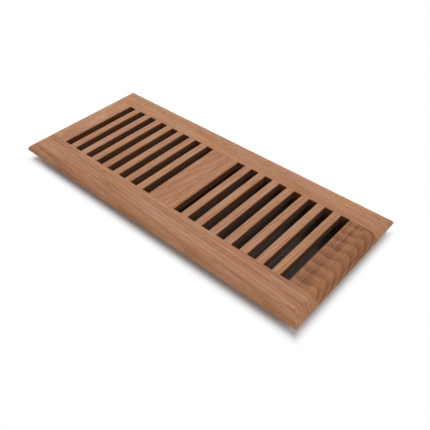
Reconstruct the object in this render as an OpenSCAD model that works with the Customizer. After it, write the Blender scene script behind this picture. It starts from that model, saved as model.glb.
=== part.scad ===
// Drop-in hardwood floor vent for a rectangular duct opening, in millimetres.
// Two long rails, two end boards and a centre panel are glued up into one frame,
// and upright slats with stub tenons bridge the two rails. The upper layer is a wide
// rim with a rounded edge that lies on the floor. Under it a shallow core, rabbeted
// out of the same boards, drops into the duct opening and keeps the vent in place.
// X runs along the rails, Y across them and Z up, from the underside of the core.

/* [Grille] */
// Number of air slots on each side of the centre panel
slots_per_side = 8; // [5:1:10]
// Width of each air slot
slot_width = 8.8; // [6:0.1:12]
// Width of each slat
slat_width = 8.1; // [6:0.1:12]
// Clear length of the air slots, from rail to rail
slot_length = 89.2; // [70:0.1:140]
// Width of the plain panel between the two groups of slots
centre_width = 32.8; // [16:0.1:60]
// Height of the slats and of the centre panel, down from the top face
slat_height = 8; // [6:0.1:12]
// Width of the eased corner along the top edges that face a slot
arris = 0.4; // [0.1:0.1:0.8]

/* [Rim] */
// Thickness of the rim that lies on the floor
rim_thickness = 8; // [7:0.1:12]
// Reach of the rim past the core at the two short ends
end_overhang = 20.7; // [17:0.1:30]
// Reach of the rim past the core along the two long sides
side_overhang = 23.8; // [17:0.1:30]
// Radius of the rounded upper edge
edge_radius = 12.7; // [6:0.1:16]
// Height of the upright lip left under the rounded edge
edge_lip = 1.3; // [0.5:0.1:3]
// Wood sanded off the top face after the edge was rounded
sanded_off = 0.05; // [0.02:0.01:0.3]

/* [Core] */
// Depth of the core below the rim
core_depth = 11; // [6:0.1:19]
// Thickness of the core wall at the two short ends
end_wall = 7.3; // [4:0.1:15]
// Thickness of the core wall along the two long sides
side_wall = 4.6; // [3:0.1:12]

/* [Glued joints] */
// Length of the tenons and tongues that are let into the rails
tenon_length = 6; // [3:0.1:10]
// Thickness of the tenons and tongues
tenon_thickness = 3; // [2:0.1:3.5]
// Wood left above the tenons and tongues
tenon_cover = 2.5; // [1.5:0.1:3]
// Room for glue past the end of each tenon or tongue
glue_room = 0.4; // [0.2:0.1:1]
// Wood left beside the tongue of each end board
tongue_shoulder = 3; // [1:0.1:6]

/* [Hidden] */
slats_per_side = slots_per_side - 1;
slat_numbers = [1:slats_per_side];

total_height = core_depth + rim_thickness;
group_length = slots_per_side * slot_width + slats_per_side * slat_width;
field_length = 2 * group_length + centre_width;
core_length = field_length + 2 * end_wall;
core_width = slot_length + 2 * side_wall;
vent_length = core_length + 2 * end_overhang;
vent_width = core_width + 2 * side_overhang;

// The round is a part of a circle whose crest stood at the top face before sanding.
// It stops at the lip, so its centre lies inwards of the lip by edge_run.
edge_crest = rim_thickness + sanded_off;
edge_drop = min(edge_radius, edge_crest - edge_lip);
edge_run = sqrt(pow(edge_radius, 2) - pow(edge_radius - edge_drop, 2));

tenon_z = total_height - tenon_cover - tenon_thickness;
tongue_start = field_length / 2 + tongue_shoulder;
tongue_width = vent_length / 2 - edge_run - tongue_shoulder - tongue_start;

// How far each cut runs on past the wood
cut_past = 1;
round_fn = 128;

rail_colour = [0.72, 0.50, 0.37];
end_colour = [0.66, 0.43, 0.29];
centre_colour = [0.74, 0.53, 0.40];
slat_colour = [0.77, 0.56, 0.43];

// Middle of slat i, counted from the left, in the group that starts at x = start
function slat_x(start, i) = start + i * slot_width + (i - 0.5) * slat_width;
left_slats = [for (i = slat_numbers) slat_x(-field_length / 2, i)];
right_slats = [for (i = slat_numbers) slat_x(centre_width / 2, i)];

// Side view of the rim: flat top, rounded shoulders and an upright lip under each
module rim_outline(half_length) {
    centre_x = half_length - edge_run;
    intersection() {
        translate([-half_length, 0]) square([2 * half_length, rim_thickness]);
        union() {
            translate([-centre_x, 0]) square([2 * centre_x, edge_crest]);
            for (side = [-1, 1])
                translate([side * centre_x, edge_crest - edge_radius])
                    circle(r = edge_radius, $fn = round_fn);
        }
    }
}

// Side view of the whole vent: the rim over the narrower core
module vent_outline(rim_half, core_half) {
    translate([0, core_depth]) rim_outline(rim_half);
    translate([-core_half, 0]) square([2 * core_half, core_depth + edge_lip]);
}

// The glued-up blank: where the long and the short side views cross, the rounded
// edges meet in mitred corners and the core becomes a plain block under the rim.
module blank() {
    intersection() {
        rotate([90, 0, 0])
            linear_extrude(vent_width + 2 * cut_past, center = true)
                vent_outline(vent_length / 2, core_length / 2);
        rotate([90, 0, 90])
            linear_extrude(vent_length + 2 * cut_past, center = true)
                vent_outline(vent_width / 2, core_width / 2);
    }
}

// Mortise in the inner face of the back rail for a tenon centred on x
module mortise(x, width) {
    translate([x - width / 2, slot_length / 2 - cut_past, tenon_z])
        cube([width, cut_past + tenon_length + glue_room, tenon_thickness]);
}

// Back rail: the part of the blank past the slots, with a mortise for each slat,
// for the centre panel and for the tongue of each end board
module back_rail() {
    color(rail_colour) difference() {
        intersection() {
            blank();
            translate([-vent_length / 2 - cut_past, slot_length / 2, -cut_past])
                cube([vent_length + 2 * cut_past, vent_width, total_height + 2 * cut_past]);
        }
        for (x = concat(left_slats, right_slats)) mortise(x, slat_width);
        mortise(0, centre_width);
        for (side = [-1, 1]) mortise(side * (tongue_start + tongue_width / 2), tongue_width);
    }
}

// Front rail: the back rail mirrored across the length of the vent
module front_rail() {
    mirror([0, 1, 0]) back_rail();
}

// Right end board: its grain runs across the vent, its core wall closes the short end,
// and a tongue at each end of it goes into the rails
module right_end() {
    color(end_colour) union() {
        difference() {
            intersection() {
                blank();
                translate([field_length / 2, -slot_length / 2, -cut_past])
                    cube([vent_length, slot_length, total_height + 2 * cut_past]);
            }
            translate([field_length / 2, 0, total_height]) arris_cut(slot_length);
        }
        translate([tongue_start, -slot_length / 2 - tenon_length, tenon_z])
            cube([tongue_width, slot_length + 2 * tenon_length, tenon_thickness]);
    }
}

// Left end board: the right one mirrored
module left_end() {
    mirror([1, 0, 0]) right_end();
}

// Prism that takes the sharp corner off an upper edge running along Y
module arris_cut(length) {
    rotate([90, 0, 0])
        linear_extrude(length + 2 * cut_past, center = true)
            polygon([[-cut_past, cut_past], [-cut_past, -arris - cut_past], [arris + cut_past, cut_past]]);
}

// Upright bar from rail to rail, with eased upper corners and a stub tenon at each end
module bar(x, width) {
    translate([x, 0, total_height]) rotate([90, 0, 0])
        linear_extrude(slot_length, center = true)
            polygon([
                [-width / 2, -slat_height],
                [width / 2, -slat_height],
                [width / 2, -arris],
                [width / 2 - arris, 0],
                [arris - width / 2, 0],
                [-width / 2, -arris]
            ]);
    translate([x - width / 2, -slot_length / 2 - tenon_length, tenon_z])
        cube([width, slot_length + 2 * tenon_length, tenon_thickness]);
}

// Plain panel between the two groups of slots
module centre_panel() {
    color(centre_colour) bar(0, centre_width);
}

// Slat i of the left group and of the right group, counted from the left
module slat_left(i) {
    color(slat_colour) bar(left_slats[i - 1], slat_width);
}

module slat_right(i) {
    color(slat_colour) bar(right_slats[i - 1], slat_width);
}

front_rail();
back_rail();
left_end();
right_end();
centre_panel();
for (i = slat_numbers) {
    slat_left(i);
    slat_right(i);
}
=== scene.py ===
# %% [markdown]
# # A drop-in floor vent in bare hardwood
#
# The object is a floor vent glued up from one kind of timber: two long rails, two end boards,
# a centre panel and fourteen slats. It has no finish on it, so what there is to see is wood:
# growth rings cut at different angles, pores, rays, streaks of colour and a strip of sapwood.
# The solids are already made, in real size, and nothing here moves or changes them. This file
# gives each board its own wood, stands the vent on a white floor with a dark card under its
# slots, lights it softly and puts the camera where the photograph was taken from.

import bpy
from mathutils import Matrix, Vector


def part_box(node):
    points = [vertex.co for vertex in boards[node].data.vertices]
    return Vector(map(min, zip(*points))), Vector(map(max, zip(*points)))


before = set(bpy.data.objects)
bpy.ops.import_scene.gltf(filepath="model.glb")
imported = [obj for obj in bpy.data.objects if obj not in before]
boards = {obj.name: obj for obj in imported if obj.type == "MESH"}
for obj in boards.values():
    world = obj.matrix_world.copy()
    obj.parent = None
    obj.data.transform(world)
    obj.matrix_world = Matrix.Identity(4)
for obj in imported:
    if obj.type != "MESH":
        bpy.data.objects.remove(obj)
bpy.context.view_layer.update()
print(len(boards), "wooden pieces")

# %% [markdown]
# ## Units and directions
#
# Blender works in metres, but a wood grain is easier to think about in millimetres, so sizes
# below are written in millimetres and `MM` turns them into metres. X runs along the rails to
# the right, Y goes from the near rail to the far one, and Z is up. The underside of the core is
# at level 0, and the level of the top face is read from the model.

# %% Named levels and a helper for directions
from math import cos, pi, radians, sin

import bpy
import numpy as np
from mathutils import Matrix, Vector

MM = 0.001
SCENE = bpy.context.scene
SCENE.view_settings.view_transform = "Standard"

vent_low, vent_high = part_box("front_rail")[0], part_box("back_rail")[1]
top_level = vent_high.z


def direction(azimuth, elevation):
    """Unit vector towards a place in the sky. Azimuth 0 is the viewer who looks along +Y, and
    90 the one who looks along -X; elevation is the height above the horizon, in degrees."""
    a, e = radians(azimuth), radians(elevation)
    return Vector((sin(a) * cos(e), -cos(a) * cos(e), sin(e)))


print("vent", [round(side / MM, 1) for side in vent_high - vent_low], "mm")

# %% [markdown]
# ## The camera
#
# A photograph fixes its camera: straight edges that are parallel on the vent meet in vanishing
# points, and the corners of the sixteen slots are enough to work out where it stood. It looked
# down by 43 degrees from the front right corner, from less than half a metre away, which is why
# the far end looks so much smaller. The picture was cropped off its middle, so the camera has a
# small sideways shift. It could be placed by eye instead, but then no slot would line up.

# %% Place the camera
IMAGE_SIDE = 430
FOCAL_LENGTH = 518.8
OPTICAL_CENTRE = 230.9
CAMERA_DISTANCE = 455.05 * MM
CAMERA_ROLL = -0.69

camera_aim = Vector((60.9 * MM, -17.7 * MM, top_level))
camera_back = direction(41.38, 43.12)

lens = bpy.data.cameras.new("photo_lens")
lens.sensor_width = 36
lens.lens = lens.sensor_width * FOCAL_LENGTH / IMAGE_SIDE
lens.shift_x = (IMAGE_SIDE / 2 - OPTICAL_CENTRE) / IMAGE_SIDE
lens.clip_start, lens.clip_end = 0.01, 20
camera = bpy.data.objects.new("photo_camera", lens)
SCENE.collection.objects.link(camera)
level_turn = camera_back.to_track_quat("Z", "Y").to_matrix().to_4x4()
camera.matrix_world = (
    Matrix.Translation(camera_aim + camera_back * CAMERA_DISTANCE)
    @ level_turn
    @ Matrix.Rotation(radians(CAMERA_ROLL), 4, "Z")
)
SCENE.camera = camera
print("lens", round(lens.lens, 2), "mm, shift", round(lens.shift_x, 4))

# %% [markdown]
# ## The floor
#
# The loose vent stands on its core, so the rim hangs a finger's width over the floor and throws
# a soft shadow under its edge. Over a duct the slots look dark. A loose vent on white paper would
# show the paper through them, and the photograph shows them dark, so a dark card a little smaller
# than the core lies under it. Both are flat sheets, each from four corners. A sheet could be a plane
# from the menu, but then its size would be in its scale and not in its mesh.

# %% Lay the floor and the dark card
CORNER_SIGNS = np.array([(-1, -1), (1, -1), (1, 1), (-1, 1)])
FLOOR_LEVEL, CARD_LEVEL = -0.4 * MM, -0.1 * MM
FLOOR_REACH = 4.0


def flat_sheet(name, half_length, half_width, level):
    """A level rectangle whose corners are (+-half_length, +-half_width, level)."""
    corners = np.column_stack([CORNER_SIGNS * (half_length, half_width), np.full(4, level)])
    mesh = bpy.data.meshes.new(name)
    mesh.from_pydata(corners.tolist(), [], [(0, 1, 2, 3)])
    sheet = bpy.data.objects.new(name, mesh)
    SCENE.collection.objects.link(sheet)
    return sheet


floor = flat_sheet("floor", FLOOR_REACH, FLOOR_REACH, FLOOR_LEVEL)
card = flat_sheet("dark_card", 148 * MM, 47 * MM, CARD_LEVEL)

# %% [markdown]
# ## Light
#
# The photograph is lit as for a catalogue. Most of the light comes from a wide lamp almost
# overhead, a little behind the left end, which leaves a short soft shadow round the rim. A weak
# lamp lower on that side adds a pale sheen, and one to the right of the camera keeps the near
# edges from going dark. The rest comes from a plain white room. The helper takes the share of
# full light that a lamp gives a level surface under it and works out the watts, so that the
# shares add up to about one and a colour renders about as it is written.

# %% Light the scene


def soft_lamp(name, azimuth, elevation, distance, size, share):
    """A square lamp of that size in metres, aimed at the vent. A small lamp of P watts gives a
    level surface P sin(elevation) / (pi distance) ** 2 of full light."""
    light = bpy.data.lights.new(name, "AREA")
    light.size = size
    light.energy = share * (pi * distance) ** 2 / sin(radians(elevation))
    lamp = bpy.data.objects.new(name, light)
    SCENE.collection.objects.link(lamp)
    towards = direction(azimuth, elevation)
    lamp.matrix_world = (
        Matrix.Translation(towards * distance) @ towards.to_track_quat("Z", "Y").to_matrix().to_4x4()
    )
    print(name, round(light.energy, 2), "W")


ROOM_SHARE = 0.24
soft_lamp("ceiling_lamp", azimuth=215, elevation=80, distance=3.0, size=2.2, share=0.56)
soft_lamp("window_lamp", azimuth=235, elevation=36, distance=3.0, size=1.8, share=0.08)
soft_lamp("camera_lamp", azimuth=68, elevation=40, distance=3.0, size=1.2, share=0.14)

room = bpy.data.worlds.new("room")
room.use_nodes = True
SCENE.world = room

# %% [markdown]
# ## Shader maths in Python
#
# A procedural material is a formula with the place on the object as its input. One small class
# wraps a socket and overloads the operators, so the formulas below can be read as formulas.
# Values use Math nodes and vectors use Vector Math nodes; every other node comes from `node`.

# %% The class for shader maths


class Wire:
    """A shader socket that takes part in Python expressions, on either side of an operator."""

    def __init__(self, tree, socket=None):
        self.tree, self.socket = tree, socket

    def node(self, kind, settings=None, sockets=None, output=0):
        """Adds a node. Its settings come first, then the values or links of its sockets."""
        made = self.tree.nodes.new(kind)
        for name, value in (settings or {}).items():
            setattr(made, name, value)
        for name, value in (sockets or {}).items():
            if isinstance(value, Wire):
                self.tree.links.new(value.socket, made.inputs[name])
            else:
                made.inputs[name].default_value = value
        return Wire(self.tree, made.outputs[output])

    def maths(self, operation, first, second):
        """A Math node, or a Vector Math node where either side is a vector."""
        sides = [first, second]
        if any(isinstance(side, Wire) and side.socket.type == "VECTOR" for side in sides):
            sides = [side if isinstance(side, (Wire, tuple)) else (side,) * 3 for side in sides]
            return self.node("ShaderNodeVectorMath", {"operation": operation}, dict(enumerate(sides)))
        return self.node("ShaderNodeMath", {"operation": operation}, dict(enumerate(sides)))

    def __add__(self, other):
        return self.maths("ADD", self, other)

    def __radd__(self, other):
        return self.maths("ADD", other, self)

    def __sub__(self, other):
        return self.maths("SUBTRACT", self, other)

    def __rsub__(self, other):
        return self.maths("SUBTRACT", other, self)

    def __mul__(self, other):
        return self.maths("MULTIPLY", self, other)

    def __rmul__(self, other):
        return self.maths("MULTIPLY", other, self)

    def __truediv__(self, other):
        return self.maths("DIVIDE", self, other)

    def __pow__(self, other):
        return self.maths("POWER", self, other)


# %% Helpers that read like words


def smooth(value, low, high):
    """0 below low, 1 above high, and a smooth step between them. High may be below low."""
    return value.node(
        "ShaderNodeMapRange",
        {"interpolation_type": "SMOOTHSTEP"},
        {"Value": value, "From Min": low, "From Max": high},
    )


def split(vector):
    """The three numbers of a vector."""
    return [vector.node("ShaderNodeSeparateXYZ", {}, {0: vector}, output=axis) for axis in range(3)]


def noise(place, scale, detail=2.0, roughness=0.5):
    """Noise from 0 to 1 whose features are about 1 / scale long along each axis of place."""
    return place.node(
        "ShaderNodeTexNoise",
        {"noise_dimensions": "3D"},
        {"Vector": place * scale, "Scale": 1.0, "Detail": detail, "Roughness": roughness},
    )


def mixed(under, over, share):
    """Colour under where share is 0 and colour over where it is 1."""
    wire = next(w for w in (share, under, over) if isinstance(w, Wire))
    return wire.node("ShaderNodeMix", {"data_type": "RGBA"}, {0: share, 6: under, 7: over}, output=2)


def paint(red, green, blue):
    """A colour written as on a screen, from 0 to 255, as the linear values that shaders use."""
    shares = np.array([red, green, blue]) / 255
    linear = np.where(shares <= 0.04045, shares / 12.92, ((shares + 0.055) / 1.055) ** 2.4)
    return (*linear.tolist(), 1.0)


def new_material(name):
    """A material with only a Principled shader in it, and a wire to start its formulas from."""
    material = bpy.data.materials.new(name)
    material.use_nodes = True
    tree = material.node_tree
    return material, Wire(tree), tree.nodes["Principled BSDF"], tree.nodes["Material Output"]


# %% [markdown]
# ## The room, the floor and the card
#
# The room lights the wood at a plain level but shows as white. The floor is white paint under
# the rim and turns to plain white, for the camera alone, a few millimetres past it, so it keeps
# the vent's shadow there. The card is dark paper with a painted pool of dim light, greyer towards
# the near right corner, because the photograph shows dim grey strips in the last slots on that side.

# %% Finish the stage
CAMERA_OR_MIRROR = ("Is Camera Ray", "Is Glossy Ray", "Is Transmission Ray")


def seen_share(wire):
    """1 for what the camera sees straight, in a mirror or through glass, and 0 for other light."""
    rays = [wire.node("ShaderNodeLightPath", output=name) for name in CAMERA_OR_MIRROR]
    return smooth(rays[0] + rays[1] + rays[2], 0.4, 0.6)


backdrop = room.node_tree.nodes["Background"]
room_wire = Wire(room.node_tree)
strength = ROOM_SHARE + (1 - ROOM_SHARE) * seen_share(room_wire)
room.node_tree.links.new(strength.socket, backdrop.inputs["Strength"])
backdrop.inputs["Color"].default_value = (1, 1, 1, 1)

SHADOW_CORE, WHITE_FROM = -5, 7
floor_paint, wire, shader, output = new_material("white_floor")
shader.inputs["Base Color"].default_value = (0.94, 0.94, 0.94, 1)
shader.inputs["Roughness"].default_value = 0.7
shader.inputs["Specular IOR Level"].default_value = 0.2
place = wire.node("ShaderNodeTexCoord", output="Object")
half_size = (vent_high.x / MM, vent_high.y / MM, 0)
outside = place.node("ShaderNodeVectorMath", {"operation": "ABSOLUTE"}, {0: place}) * (1 / MM) - half_size
past_end, past_side, _ = split(outside)
past_rim = wire.maths("MAXIMUM", past_side, past_end)
glow_share = smooth(past_rim, SHADOW_CORE, WHITE_FROM)
glow = wire.node("ShaderNodeEmission", {}, {"Color": (1, 1, 1, 1), "Strength": 1.0})
lifted = wire.node(
    "ShaderNodeMixShader",
    {},
    {0: glow_share * wire.node("ShaderNodeLightPath", output="Is Camera Ray"), 2: glow},
)
floor_paint.node_tree.links.new(shader.outputs[0], lifted.socket.node.inputs[1])
floor_paint.node_tree.links.new(lifted.socket, output.inputs["Surface"])
floor.data.materials.append(floor_paint)

dark_paper_and_light_pool, wire, shader, output = new_material("dark_paper_and_light_pool")
x, y, z = split(wire.node("ShaderNodeTexCoord", output="Object") * (1 / MM))
# Painted light: a dim pool of light on the card, greyer towards the near right corner.
painted_light_pool = smooth(x, 70, 118) * smooth(y, 26, 4)
card_colour = mixed(paint(14, 8, 5), paint(120, 110, 104), painted_light_pool)
dark_paper_and_light_pool.node_tree.links.new(card_colour.socket, shader.inputs["Base Color"])
shader.inputs["Roughness"].default_value = 0.8
card.data.materials.append(dark_paper_and_light_pool)

# %% [markdown]
# ## What makes it look like wood
#
# A board is cut from a trunk, and its pattern is solid: it goes right through, and shows as
# straight lines, arches or end grain by the way a face cuts it. So the pattern is worked out in
# the board's own space, in millimetres, with the first axis along the grain. Four things add up:
#
# - growth rings: cylinders round the pith, each one darker towards its outer side,
# - streaks: slow changes of tone, drawn out along the grain,
# - fibres: fine lines along the grain, which also make the surface a little rough,
# - pores: short dark dashes, which are tiny open grooves on a bare surface.
#
# A picture of wood would be quicker, but it would not go round an edge as solid wood does.

# %% Patterns in wood


def board_space(wire, crosswise, seed):
    """Two vectors in millimetres: the place on the vent, and the place in the board's own wood,
    with the grain along the first axis. A seed shifts the wood, so no two boards match."""
    place = wire.node("ShaderNodeTexCoord", output="Object") * (1 / MM)
    turn = (0, 0, -pi / 2 if crosswise else 0)
    shift = (137.0 * seed, 91.0 * seed, 53.0 * seed)
    grain = place.node("ShaderNodeMapping", {"vector_type": "POINT"}, {"Vector": place, "Rotation": turn})
    return place, grain, grain + shift


def growth_rings(grain, wood, pith, drift, width, wobble=1.5):
    """Darkness from 0 to 1 that rises through each ring and drops where the next one starts.
    A ring is a circle round the pith, which lies at pith = (across, up) in the middle of the
    board and moves by drift = (across, up) for each millimetre along it. Noise bends the rings."""
    along, across, up = split(grain)
    aside = across - pith[0] - along * drift[0]
    above = up - pith[1] - along * drift[1]
    radius = (aside * aside + above * above) ** 0.5
    bend = noise(wood, (0.008, 0.03, 0.03)) * (2 * wobble) + noise(wood, (0.05, 0.2, 0.2)) * (0.5 * wobble)
    turn = (radius + bend) / width
    part = turn.node("ShaderNodeMath", {"operation": "FRACT"}, {0: turn})
    return smooth(part, 0.1, 0.9) * smooth(part, 1.0, 0.92)


def pore_lines(wood, rings, amount):
    """Short dashes along the grain, most of them in the pale first half of a ring."""
    dashes = noise(wood, (0.11, 1.9, 1.9), detail=1)
    return smooth(dashes, 0.56, 0.70) * (1 - 0.7 * rings) * amount


# %% [markdown]
# ## The colours of this timber
#
# All boards are one kind of timber, so they share one set of colours, and a board is described
# by two numbers: its shade, from dark heartwood at 0 to pale wood at 1, and its warmth, from a
# pinkish tan at 0 to an orange one at 1. Dark wood is not just darker but also redder, which is
# why the dark tones are their own colours and not the pale ones times a factor.

# %% Mix the colours of the timber
PALE_PINK, TAN_PINK, DARK_PINK = paint(201, 160, 134), paint(171, 119, 88), paint(96, 50, 32)
PALE_ORANGE, TAN_ORANGE, DARK_ORANGE = paint(199, 151, 106), paint(169, 113, 71), paint(102, 58, 24)
SAPWOOD = paint(222, 186, 150)
PORE = paint(70, 36, 22)
# Painted shade: the deep brown that the walls of the slots are darkened towards.
SLOT_WALL_SHADE = paint(58, 24, 8)


def timber_colour(shade, warmth):
    """Heartwood of this shade and warmth: dark at shade 0, tan at a half and pale at 1."""
    pink = mixed(mixed(DARK_PINK, TAN_PINK, shade * 2), PALE_PINK, shade * 2 - 1)
    orange = mixed(mixed(DARK_ORANGE, TAN_ORANGE, shade * 2), PALE_ORANGE, shade * 2 - 1)
    return mixed(pink, orange, warmth)


def painted_slot_shade_share(place):
    """1 on the walls of the slots, which are painted darker as shade, and 0 on the top and the
    outer faces: the walls start below the top and lie inside the rails and ends."""
    x, y, z = split(place)
    level = top_level / MM
    inside = smooth(x * x, 144.5**2, 144.0**2) * smooth(y * y, 45.4**2, 44.9**2)
    return smooth(z, level - 0.5, level - 1.5) * inside


def plain(place, shade, warmth):
    """A board with no local marks: no sapwood, and the shade and warmth as they are."""
    return shade, warmth, 0.0


def bare_wood(name, crosswise, seed, shade, warmth, rings, marks=plain, contrast=1.0):
    """Bare sanded wood for one board. rings holds the settings of growth_rings, and marks adds
    what only this board has: it takes the place, the shade and the warmth, and returns the two
    and the share of sapwood."""
    material, wire, shader, _ = new_material(name)
    place, grain, wood = board_space(wire, crosswise, seed)
    late = growth_rings(grain, wood, **rings)
    streaks = noise(wood, (0.010, 0.22, 0.22), detail=3) - 0.5
    fibres = noise(wood, (0.035, 1.3, 1.3), detail=3, roughness=0.6) - 0.5
    clouds = noise(wood + (31, 17, 5), (0.018, 0.07, 0.07)) - 0.5
    tints = noise(wood + (7, 43, 71), (0.014, 0.16, 0.16), detail=2) - 0.5
    pores = pore_lines(wood, late, 1.0)

    figure = streaks * 0.55 + fibres * 0.40 + clouds * 0.35 - late * 0.16
    shade_here, warmth_here, sap = marks(place, shade + figure * contrast + 0.05, warmth + tints * 1.6)
    colour = timber_colour(shade_here, warmth_here)
    if isinstance(sap, Wire):
        colour = mixed(colour, SAPWOOD, sap)
    colour = mixed(colour, PORE, pores * 0.45)
    # Painted shade: the walls of the slots are darkened towards a deep brown.
    colour = mixed(colour, SLOT_WALL_SHADE, painted_slot_shade_share(place) * 0.75)
    tree = material.node_tree
    tree.links.new(colour.socket, shader.inputs["Base Color"])
    roughness = 0.58 + pores * 0.2 - fibres * 0.2
    tree.links.new(roughness.socket, shader.inputs["Roughness"])
    relief = fibres * 0.5 - pores
    bump = relief.node("ShaderNodeBump", {}, {"Height": relief, "Strength": 0.35, "Distance": 0.15 * MM})
    tree.links.new(bump.socket, shader.inputs["Normal"])
    shader.inputs["Specular IOR Level"].default_value = 0.3
    return material


def finish_board(node, material):
    """Puts a material on a board's own slot. The mesh stays as it is."""
    boards[node].material_slots[0].link = "OBJECT"
    boards[node].material_slots[0].material = material


# %% [markdown]
# ## Wood for each board
#
# On the real vent the rails have their grain along X, and the end boards, the centre panel and
# the slats have it along Y, across the vent. One material could serve them all, but then the
# pattern would run on from board to board as if they were one. So each board gets a material of
# its own, with its own seed, shade and place in the trunk. The right end board is the darkest.

# %% Rails
finish_board("back_rail", bare_wood(
    "back_rail_wood", crosswise=False, seed=1, shade=0.62, warmth=0.6,
    rings={"pith": (-70, -60), "drift": (0.03, 0.0), "width": 2.6}))
finish_board("front_rail", bare_wood(
    "front_rail_wood", crosswise=False, seed=2, shade=0.55, warmth=0.35,
    rings={"pith": (60, -80), "drift": (-0.045, 0.0), "width": 3.0}))

# %% Ends and centre
finish_board("left_end", bare_wood(
    "left_end_wood", crosswise=True, seed=3, shade=0.66, warmth=0.6,
    rings={"pith": (150, -40), "drift": (0.0, 0.05), "width": 3.0}))
finish_board("right_end", bare_wood(
    "right_end_wood", crosswise=True, seed=4, shade=0.38, warmth=0.75,
    rings={"pith": (-152, -35), "drift": (0.02, 0.22), "width": 2.4}, contrast=1.3))
finish_board("centre_panel", bare_wood(
    "centre_wood", crosswise=True, seed=5, shade=0.55, warmth=0.55,
    rings={"pith": (30, -40), "drift": (0.0, 0.1), "width": 3.2}))

# %% Slats
for side in ("left", "right"):
    for number in range(1, 8):
        name = f"slat_{side}_{number}"
        low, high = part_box(name)
        finish_board(name, bare_wood(
            name + "_wood", crosswise=True, seed=10 + number + 10 * (side == "right"), shade=0.6, warmth=0.4,
            rings={"pith": (-(low.x + high.x) / 2 / MM + 40, -30), "drift": (0.0, 0.04), "width": 2.6}))
print(sum(material.name.endswith("_wood") for material in bpy.data.materials), "wood materials")
